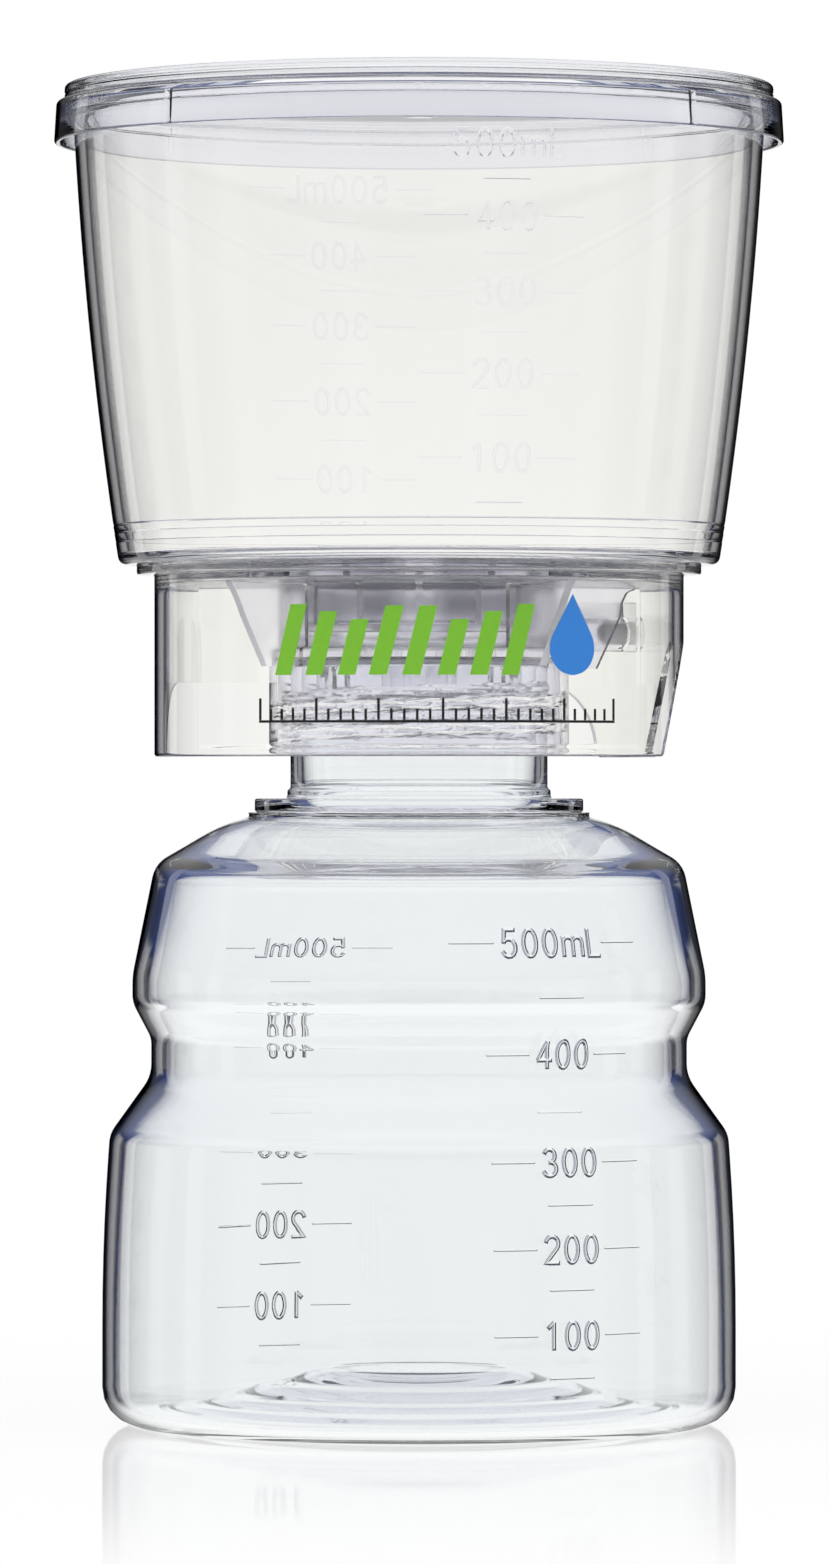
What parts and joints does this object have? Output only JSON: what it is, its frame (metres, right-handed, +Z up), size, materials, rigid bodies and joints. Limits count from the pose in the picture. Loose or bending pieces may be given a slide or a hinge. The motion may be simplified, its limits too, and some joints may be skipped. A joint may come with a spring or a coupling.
{
  "type": "vacuum filtration unit",
  "caption": "Clear vacuum filtration unit: a lidded funnel over a membrane and a filter base with a side vacuum port, screwed onto a waisted storage bottle.",
  "frame": {"origin": "centre of the standing ring, on the surface that the bottle stands on", "axes": "+Z up along the bottle's axis, -Y towards the printed label, +X to the grip arch on the label's right"},
  "size_m": [0.1164, 0.1164, 0.2132],
  "materials": {
    "clear_bottle": "clear polystyrene, blown, glossy",
    "seal_rubber": "white silicone, smooth",
    "clear_base": "clear polystyrene with a violet-grey cast, moulded, glossy",
    "membrane_white": "white microporous film, matte",
    "cotton": "packed cotton fibre",
    "clear_funnel": "clear polystyrene, moulded, glossy",
    "clear_lid": "clear polystyrene, moulded, glossy",
    "ink_green": "pad-printed ink",
    "ink_blue": "pad-printed ink",
    "ink_black": "pad-printed ink"
  },
  "bodies": {
    "bottle": {"bottle": "clear_bottle"},
    "seal": {"neck_seal": "seal_rubber"},
    "filter_head": {"filter_base": "clear_base", "membrane": "membrane_white", "port_plug": "cotton", "funnel": "clear_funnel", "label_strokes": "ink_green", "label_drop": "ink_blue", "label_rule": "ink_black"},
    "lid": {"lid": "clear_lid"}
  },
  "joints": [
    {"name": "head_lift", "type": "slide", "parent": "bottle", "child": "seal", "axis": [0, 0, 1], "range_m": [0, 0.0181]},
    {"name": "head_turn", "type": "hinge", "parent": "seal", "child": "filter_head", "pos_m": [0, 0, 0.12], "axis": [0, 0, 1], "range_deg": [0, 1620]},
    {"name": "lid_lift", "type": "slide", "parent": "filter_head", "child": "lid", "axis": [0, 0, 1], "range_m": [0, 0.015]}
  ],
  "couplings": [
    {"joint": "head_lift", "follows": "head_turn", "m_per_rad": 0.00063662}
  ]
}
